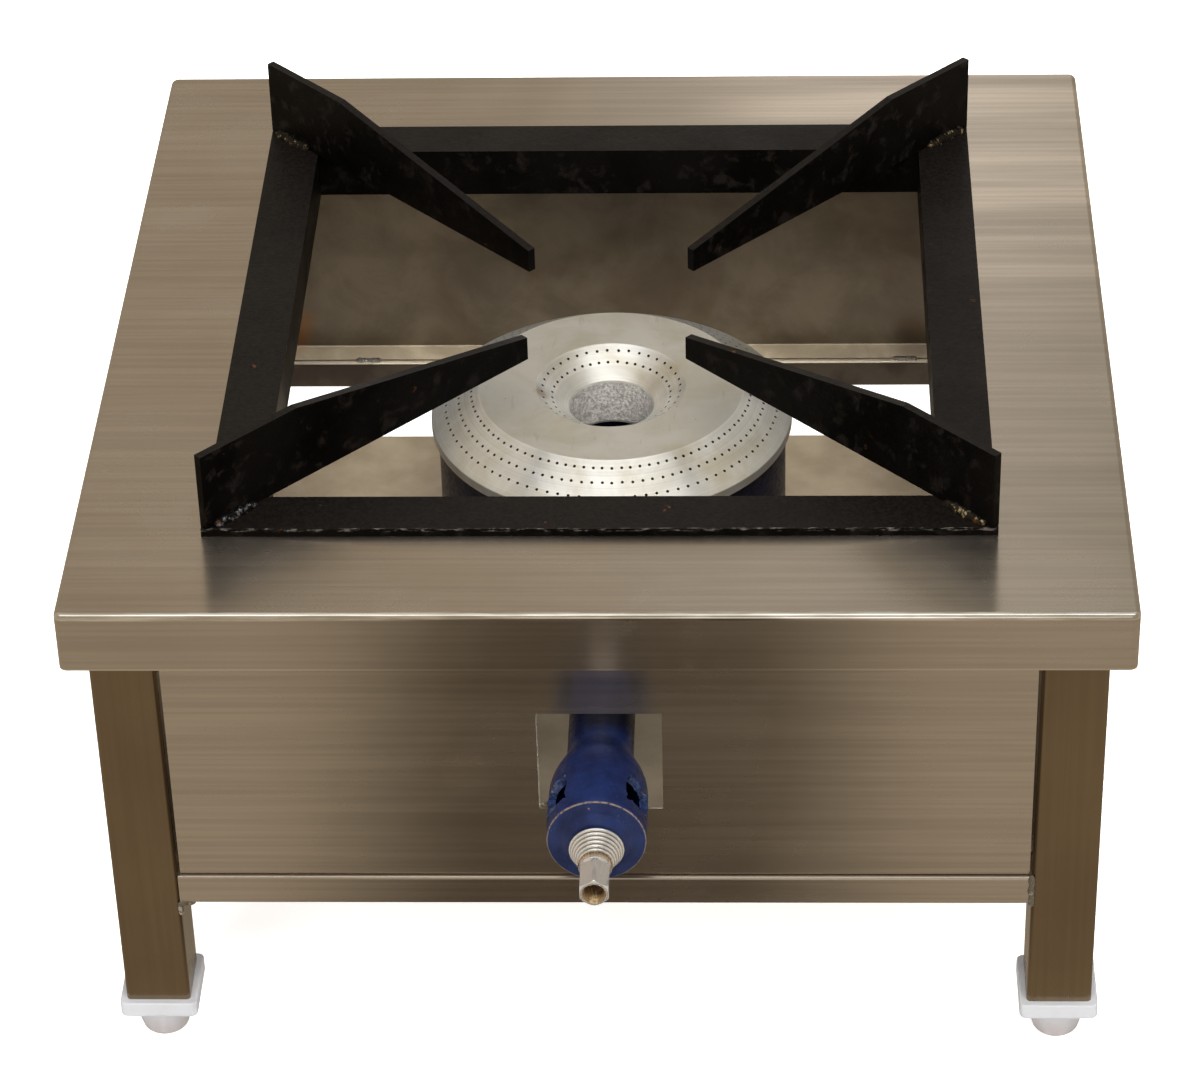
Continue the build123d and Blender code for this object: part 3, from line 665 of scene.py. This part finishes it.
# Painted shade: the flame ports' insides take the cast colour at 12 %.
port_inside_painted_shade = cast_aluminium("port_inside_painted_shade", 0.12)
chrome = plating("bright_plating", (0.84, 0.83, 0.81), 0.05, 0.05)
spring_wire = plating("spring_wire", (0.84, 0.83, 0.80), 0.08, 0.12)
brass = plating("brass", (0.66, 0.45, 0.25), 0.2, 0.5)
brass_bore = plating("brass_bore", (0.50, 0.36, 0.20), 0.2, 0.95, (0.06, 0.03, 0.02))
zinc = plating("zinc_fastener", (0.6, 0.6, 0.58), 0.28, 0.4)
white_plastic = plastic("white_plastic")


def finish_node(name, material, bevel=None):
    """Gives a CAD node its material, and a small rounded edge where it has none."""
    node = nodes[name]
    for place in node.material_slots:
        place.material = material
    if bevel:
        modifier = node.modifiers.new("edge", "BEVEL")
        modifier.width = bevel
        modifier.segments = 2
        modifier.limit_method = "ANGLE"
        modifier.angle_limit = radians(50)
        modifier.harden_normals = True


finish_node("top_plate", steel_plate)
for side in ("front", "right", "back", "left"):
    metal = steel_x if side in ("front", "back") else steel_y
    finish_node(f"lower_rail_{side}", steel_back_rail if side == "back" else metal)
    finish_node(f"upper_rail_{side}", metal)
    finish_node(f"{side}_panel", {"back": steel_back, "front": steel_front}.get(side, metal))
    finish_node(f"support_bar_{side}", black_bar, 0.7 * mm)
for corner in ("front_left", "front_right", "back_left", "back_right"):
    finish_node(f"leg_{corner}", steel_legs)
    finish_node(f"foot_{corner}", white_plastic)
    finish_node(f"support_arm_{corner}", black_bar, 0.8 * mm)
finish_node("burner_shelf", steel_shelf)
finish_node("burner_body", navy_drum_painted_shade)
finish_node("burner_bolts", zinc)
finish_node("jet_nozzle", brass)
finish_node("jet_washer", brass, 0.3 * mm)
finish_node("jet_spring", spring_wire)


# ---------------------------------------------------------------- pieces built here
def piece(name, bm, materials, body, replaced=(), sharp=35.0):
    """Turns a bmesh into an object that rides on a body."""
    bmesh.ops.recalc_face_normals(bm, faces=bm.faces)
    mesh = bpy.data.meshes.new(name)
    bm.to_mesh(mesh)
    bm.free()
    for material in materials:
        mesh.materials.append(material)
    mesh.shade_smooth()
    mesh.set_sharp_from_angle(angle=radians(sharp))
    made = bpy.data.objects.new(name, mesh)
    scene.collection.objects.link(made)
    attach(made, body)
    if replaced:
        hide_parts(*replaced)
    return made


def circle(bm, count, place):
    """A ring of vertices: place(angle) gives each one's position."""
    return [bm.verts.new(place(2 * pi * k / count)) for k in range(count)]


def strip(bm, first, second, material=0):
    """Quads between two rings with the same count."""
    count = len(first)
    for k in range(count):
        face = bm.faces.new((first[k], first[(k + 1) % count], second[(k + 1) % count], second[k]))
        face.material_index = material


def zipper(bm, first, second, material=0):
    """Triangles between two rings with different counts."""
    i = j = 0
    n, m = len(first), len(second)
    while i < n or j < m:
        if i >= n or (j < m and (j + 1) / m <= (i + 1) / n):
            corners = (first[i % n], second[(j + 1) % m], second[j % m])
            j += 1
        else:
            corners = (first[i % n], first[(i + 1) % n], second[j % m])
            i += 1
        bm.faces.new(corners).material_index = material


def cap(bm, ring, material=0):
    bm.faces.new(ring).material_index = material


def build_ring():
    """Turned burner ring with drilled ports: three rows on its outer cone, two on the inner one."""
    dice = random.Random(5)
    bm = bmesh.new()
    hole_radius, port_depth = 0.95 * mm, 4.5 * mm

    def at(radius, z, angle):
        return Vector((radius * cos(angle), stand_y + radius * sin(angle), ring_z + z))

    def plain(count, radius, z):
        return circle(bm, count, lambda angle: at(radius, z, angle))

    def port_rows(start, count, first, last, rows, width):
        """Rows of ports on the cone from first to last (radius, height); returns the last ring."""
        slope = Vector((last[0] - first[0], last[1] - first[1]))
        length = slope.length
        slope /= length
        below = Vector((slope[1], -slope[0])) if first[0] < last[0] else Vector((-slope[1], slope[0]))

        def on_cone(s, angle, depth=0.0):
            radius = first[0] + slope[0] * s + below[0] * depth
            return at(radius, first[1] + slope[1] * s + below[1] * depth, angle)

        ring = start
        for row in rows:
            s0, s1 = row - width / 2, row + width / 2
            if s0 > 1e-6 and ring is start:
                near = circle(bm, 2 * count, lambda angle: on_cone(s0, angle))
                strip(bm, ring, near)
                ring = near
            far = circle(bm, 2 * count, lambda angle: on_cone(s1, angle))
            sides = [bm.verts.new(on_cone(row, 2 * pi * k / count)) for k in range(count)]
            for k in range(count):
                radius = first[0] + slope[0] * row
                middle = 2 * pi * (k + 0.5) / count + dice.uniform(-0.3, 0.3) * mm / radius
                offset = row + dice.uniform(-0.2, 0.2) * mm
                after = (k + 1) % count
                border = (
                    ring[2 * k], ring[2 * k + 1], ring[(2 * k + 2) % (2 * count)], sides[after],
                    far[(2 * k + 2) % (2 * count)], far[2 * k + 1], far[2 * k], sides[k],
                )
                turns = [radians(225 + 45 * t) for t in range(8)]
                loops = []
                for depth in (0.0, port_depth):
                    loops.append([
                        bm.verts.new(on_cone(
                            offset + hole_radius * sin(t), middle + hole_radius * cos(t) / radius, depth
                        ))
                        for t in turns
                    ])
                strip(bm, list(border), loops[0])
                strip(bm, loops[0], loops[1], 2)
                cap(bm, loops[1], 2)
            ring = far
        end = circle(bm, 2 * count, lambda angle: on_cone(length, angle))
        strip(bm, ring, end)
        return end

    outer_ports, inner_ports = 96, 40
    inner = 2 * inner_ports
    hub = plain(inner, 30.5 * mm, -45 * mm)
    low = plain(inner, 26 * mm, -45 * mm)
    strip(bm, hub, low, 1)
    wall = low
    for step in range(1, 11):
        level = plain(inner, 26 * mm, (-45 + (1.2 if step == 1 else 3.1 * (step - 0.6))) * mm)
        for vert in level:
            shove = 0.35 * mm * noise.noise(vert.co * 300)
            vert.co.x += shove * vert.co.x / (26 * mm)
            vert.co.y += shove * (vert.co.y - stand_y) / (26 * mm)
        strip(bm, wall, level, 0 if step == 1 else 1)
        wall = level
    lip = plain(inner, 26.5 * mm, -14.7 * mm)
    strip(bm, wall, lip)
    cone_foot, cone_top = (26.5 * mm, -14.7 * mm), (45.9 * mm, -0.1 * mm)
    cone_run = hypot(cone_top[0] - cone_foot[0], cone_top[1] - cone_foot[1])
    per_radius = cone_run / (cone_top[0] - cone_foot[0])
    rows = [(radius * mm - cone_foot[0]) * per_radius for radius in (36.3, 42.4)]
    rim = port_rows(lip, inner_ports, cone_foot, cone_top, rows, 6.1 * mm * per_radius)
    brow = plain(inner, 46.1 * mm, 0.0)
    strip(bm, rim, brow)
    outer = 2 * outer_ports
    flat = plain(outer, 81.4 * mm, 0.0)
    zipper(bm, brow, flat)
    shoulder = plain(outer, 81.6 * mm, -0.1 * mm)
    strip(bm, flat, shoulder)
    foot_edge = (110.7 * mm, -18.8 * mm)
    cone_start = (81.6 * mm, -0.1 * mm)
    slope_run = hypot(foot_edge[0] - cone_start[0], foot_edge[1] - cone_start[1])
    per_radius = slope_run / (foot_edge[0] - cone_start[0])
    rows = [(radius * mm - cone_start[0]) * per_radius for radius in (86, 94, 102)]
    edge = port_rows(shoulder, outer_ports, cone_start, foot_edge, rows, 8.0 * mm * per_radius)
    for radius, z in (
        (111, -19.3), (111, -24.6), (110.6, -25), (101.5, -25), (101.5, -31), (95.5, -31),
        (95.5, -18), (79.5, -7), (48, -7),
    ):
        following = plain(outer, radius * mm, z * mm)
        strip(bm, edge, following)
        edge = following
    neck = plain(inner, 30.5 * mm, -19 * mm)
    zipper(bm, neck, edge, 1)
    strip(bm, neck, hub, 1)
    finishes = (turned, cast, port_inside_painted_shade)
    piece("turned_burner_ring", bm, finishes, "burner_cap", ("burner_ring",), 14.0)


def build_mixing_tube():
    """Cast mixing tube with its air bell; three rough windows are cut through the bell."""
    bm = bmesh.new()
    count = 96
    hole = 6.0
    window_low, window_high = 20.5, 41.5
    steps = [(-87.0, 19.0), (-40.0, 19.0), (-23.0, 19.0)]
    for k in range(1, 11):
        t = k / 10
        s = (1 - t) ** 3 * -23 + 3 * (1 - t) ** 2 * t * -9.35 + 3 * (1 - t) * t * t * -3.5 + t**3 * 16
        r = (1 - t) ** 3 * 19 + 3 * (1 - t) ** 2 * t * 19 + 3 * (1 - t) * t * t * 28 + t**3 * 28
        steps.append((s, r))
    steps += [(window_low, 28.0)]
    steps += [(window_low + (window_high - window_low) * k / 6, 28.0) for k in range(1, 7)]
    steps += [(46.0, 28.0), (51.4, 28.0), (52.5, 27.6), (53.0, 26.6)]
    boss = [(53.0, 20.6), (53.4, 19.8), (57.4, 16.4), (58.0, 15.4), (58.0, 6.6), (57.6, hole)]
    inside = [(49.0, hole), (49.0, 24.0), (window_high, 24.0)]
    inside += [(window_high - (window_high - window_low) * k / 6, 24.0) for k in range(1, 7)]
    inside += [(16.0, 24.0), (-23.0, 11.0), (-43.0, 11.0), (-67.0, 15.0), (-87.0, 15.0)]

    def ring(s, r, rough):
        verts = []
        for k in range(count):
            angle = 2 * pi * k / count
            point = Vector((r * cos(angle), -s, r * sin(angle)))
            lump = rough * noise.noise(point * 0.16) + 0.4 * rough * noise.noise(point * 0.6)
            point.x *= 1 + lump / r
            point.z *= 1 + lump / r
            verts.append(bm.verts.new((point.x * mm, skirt_y + point.y * mm, axis_z + point.z * mm)))
        return verts

    def in_window(s0, s1, k):
        middle = (s0 + s1) / 2
        if not window_low < middle < window_high:
            return False
        degrees = 360 * (k + 0.5) / count
        return any(abs((degrees - way + 180) % 360 - 180) < 21 for way in (30, 150, 270))

    def surface(path, rough):
        rings = [ring(s, r, rough) for s, r in path]
        for (s0, _), (s1, _), one, two in zip(path, path[1:], rings, rings[1:]):
            for k in range(count):
                if not in_window(s0, s1, k):
                    after = (k + 1) % count
                    bm.faces.new((one[k], one[after], two[after], two[k]))
        return rings

    path_out = steps + boss
    out_rings = surface(path_out, 0.22)
    in_rings = surface(inside, 0.1)
    strip(bm, out_rings[-1], in_rings[0])
    strip(bm, out_rings[0], in_rings[-1])
    # Walls of the windows: join the outer and inner skins along each opening's border.
    first = [s for s, _ in steps].index(window_low)
    out_grid = out_rings[first : first + 7]
    start = [s for s, _ in inside].index(window_high)
    in_grid = in_rings[start : start + 7][::-1]
    dice = random.Random(11)
    for way in (30, 150, 270):
        columns = [k for k in range(count) if abs((360 * (k + 0.5) / count - way + 180) % 360 - 180) < 21]
        if way == 30:
            columns.sort(key=lambda k: (k + 20) % count)
        cols = columns + [(columns[-1] + 1) % count]
        border = [(0, k) for k in cols] + [(row, cols[-1]) for row in range(1, 7)]
        border += [(6, k) for k in cols[-2::-1]] + [(row, cols[0]) for row in range(5, 0, -1)]
        for row, k in border:
            chip = Vector((dice.uniform(-0.7, 0.7), dice.uniform(-1.0, 1.0), dice.uniform(-0.7, 0.7))) * mm
            out_grid[row][k].co += chip
            turn = radians(way)
            middle = Vector((24 * mm * cos(turn), skirt_y - 31 * mm, axis_z + 24 * mm * sin(turn)))
            inward = (middle - in_grid[row][k].co).normalized()
            in_grid[row][k].co += 0.4 * chip + inward * dice.uniform(1.0, 2.6) * mm
        for (row, k), (next_row, next_k) in zip(border, border[1:] + border[:1]):
            wall = bm.faces.new(
                (out_grid[row][k], out_grid[next_row][next_k], in_grid[next_row][next_k], in_grid[row][k])
            )
            wall.material_index = 1
    loose = [v for v in bm.verts if not v.link_faces]
    bmesh.ops.delete(bm, geom=loose, context="VERTS")
    piece("cast_mixing_tube", bm, (navy, navy_cut), "stand", ("mixing_tube",), 40.0)


def build_jet():
    """Hexagonal jet holder: chamfered corners, threaded inlet, collar and stem."""
    bm = bmesh.new()
    count = 72
    flat = 8.0
    tip = jet_low[1]

    def ring(back, radius_at):
        def place(angle):
            radius = radius_at(angle) * mm
            return (radius * cos(angle), tip + back * mm, axis_z + radius * sin(angle))

        return circle(bm, count, place)

    def hexagon(angle):
        return flat / cos((angle - pi / 2) % (pi / 3) - pi / 6)

    pitch = 1.337
    rings = []
    depth = 14.0
    rings.append((ring(depth, lambda a: 2.0), 1))
    steps = 44
    for k in range(steps, -1, -1):
        back = 0.9 + (depth - 0.9) * k / steps

        def thread(angle, back=back):
            phase = (back / pitch - angle / (2 * pi)) % 1
            return 5.75 + 0.5 * abs(2 * phase - 1)

        rings.append((ring(back, thread), 1))
    rings.append((ring(0.0, lambda a: 6.7), 1))
    for back in (0.0, 0.25, 0.5, 0.75, 1.0, 1.3):
        rings.append((ring(back, lambda a, back=back: min(hexagon(a), 7.75 + 1.25 * back)), 0))
    for back in (19.9, 20.3, 20.7, 21.0):
        rings.append((ring(back, lambda a, back=back: min(hexagon(a), 7.9 + 1.25 * (21.0 - back))), 0))
    for back, radius in (
        (21.0, 8.9), (21.2, 9.0), (22.8, 9.0), (23.0, 8.8),
        (23.0, 5.95), (51.8, 5.95), (52.0, 5.7), (52.0, 2.0),
    ):
        rings.append((ring(back, lambda a, radius=radius: radius), 0))
    for (one, _), (two, material) in zip(rings, rings[1:]):
        strip(bm, one, two, material)
    strip(bm, rings[-1][0], rings[0][0], 1)
    piece("hex_jet_holder", bm, (chrome, brass_bore), "gas_jet", ("jet_holder",), 25.0)


def bead(name, path, size, body, material, seed, up=(0, 0, 1), squash=0.7, ripple=2.2 * mm):
    """A weld bead: overlapping ripples along a path, lumpy and half sunk into the joint."""
    bm = bmesh.new()
    around = 12
    path = [Vector(p) for p in path]
    lengths = [(b - a).length for a, b in zip(path, path[1:])]
    total = sum(lengths)
    count = max(6, int(total / (0.35 * mm)))
    up = Vector(up).normalized()
    previous = None
    first = None
    for k in range(count + 1):
        run = total * k / count
        left, part = run, 0
        while part < len(lengths) - 1 and left > lengths[part]:
            left -= lengths[part]
            part += 1
        along = (path[part + 1] - path[part]).normalized()
        centre = path[part] + along * left
        side = along.cross(up).normalized()
        over = side.cross(along).normalized()
        end = min(1.0, min(run, total - run) / (0.9 * size) + 0.05)
        wave = 0.82 + 0.18 * (1 - ((run / ripple + 0.15 * noise.noise(centre * 900)) % 1))
        swell = 1 + 0.3 * noise.noise(centre * 240 + Vector((seed, 0, 0)))
        radius = size * wave * swell * end**0.5
        centre = centre + side * 0.25 * size * noise.noise(centre * 200 + Vector((0, seed, 0)))
        ring = []
        for j in range(around):
            angle = 2 * pi * j / around
            lump = 1 + 0.12 * noise.noise(centre * 700 + Vector((j, seed, 0)))
            offset = side * cos(angle) + over * (squash * sin(angle))
            ring.append(bm.verts.new(centre + offset * radius * lump))
        if previous:
            strip(bm, previous, ring)
        else:
            first = ring
        previous = ring
    cap(bm, first)
    cap(bm, previous)
    return piece(name, bm, (material,), body, sharp=60.0)


build_ring()
build_mixing_tube()
build_jet()

# Weld beads along both sides of each arm's foot, on the pan support's corners.
corner_ways = {"front_left": (-1, -1), "front_right": (1, -1), "back_left": (-1, 1), "back_right": (1, 1)}
arm_half = 2.5 * mm
for number, (corner, (sx, sy)) in enumerate(corner_ways.items()):
    outwards = Vector((sx, sy, 0)).normalized()
    across = Vector((-outwards.y, outwards.x, 0))
    foot_line = Vector((0, stand_y, frame_z))
    for flank in (-1, 1):
        lift = Vector((0, 0, 0.6 * mm))
        offset = across * flank * (arm_half + 0.9 * mm)
        path = [foot_line + outwards * reach * mm + offset + lift for reach in (279, 290, 302, 311)]
        metal = black_weld if corner == "front_left" else brassy_weld
        bead(
            f"arm_weld_{corner}_{'a' if flank < 0 else 'b'}", path, 3.9 * mm, "pan_support",
            metal, 3 * number + flank, up=Vector((0, 0, 1)) + across * flank,
        )

# Ground welds where the lower rails meet the legs.
for number, (corner, (sx, sy)) in enumerate(corner_ways.items()):
    low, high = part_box(f"leg_{corner}")
    inner_x = low[0] if sx > 0 else high[0]
    face_y = low[1] if sy < 0 else high[1]
    bottom, top = rail_low[2], rail_high[2]
    if sx < 0:
        under_rail = (inner_x + 9 * mm, face_y + sy * -1.2 * mm, bottom)
        path = [under_rail, (inner_x, face_y, bottom), (inner_x, face_y, bottom - 9 * mm)]
    else:
        heights = (top + 2 * mm, (bottom + top) / 2, bottom - 2 * mm)
        path = [(inner_x, face_y, height) for height in heights]
    bead(
        f"rail_weld_{corner}", path, 2.0 * mm, "stand", grey_weld, 20 + number,
        up=(0, sy, 0), squash=0.5,
    )

# Tack welds between the back panel's foot and its rail.
for number, x in enumerate((-0.1765, 0.19)):
    y, z = back_low[1], back_rail_high[2] + 0.6 * mm
    path = [(x - 9 * mm, y, z), (x, y - 0.5 * mm, z + 0.3 * mm), (x + 9 * mm, y, z)]
    bead(
        f"back_tack_{number}", path, 2.4 * mm, "stand", silver_weld, 40 + number,
    )

# Burrs left round the cut-out: a thin bright lip on its left edge, a crumb of metal and a nick.
cut_left, cut_right, cut_bottom, cut_top = -35.5 * mm, 35.5 * mm, 179 * mm, 248 * mm
front_face = panel_low[1]
lip_x = cut_left + 0.2 * mm
lip = [(lip_x, front_face, cut_bottom + 1 * mm), (lip_x, front_face, cut_top - 1 * mm)]
bead("cut_out_lip", lip, 0.45 * mm, "stand", silver_weld, 51, up=(0, -1, 0))
crumb = [
    (cut_left + 0.5 * mm, front_face + 0.5 * mm, cut_bottom + 2.4 * mm),
    (cut_left + 7 * mm, front_face + 0.5 * mm, cut_bottom + 2.6 * mm),
]
bead(
    "cut_out_crumb", crumb, 2.6 * mm, "stand", grey_weld, 52, up=(0, -1, 0), squash=0.25,
)
nick_z = cut_bottom + 0.3 * mm
nick = [(cut_right - 8 * mm, front_face, nick_z), (cut_right - 0.5 * mm, front_face, nick_z)]
bead("cut_out_nick", nick, 0.5 * mm, "stand", silver_weld, 53, up=(0, -1, 0))
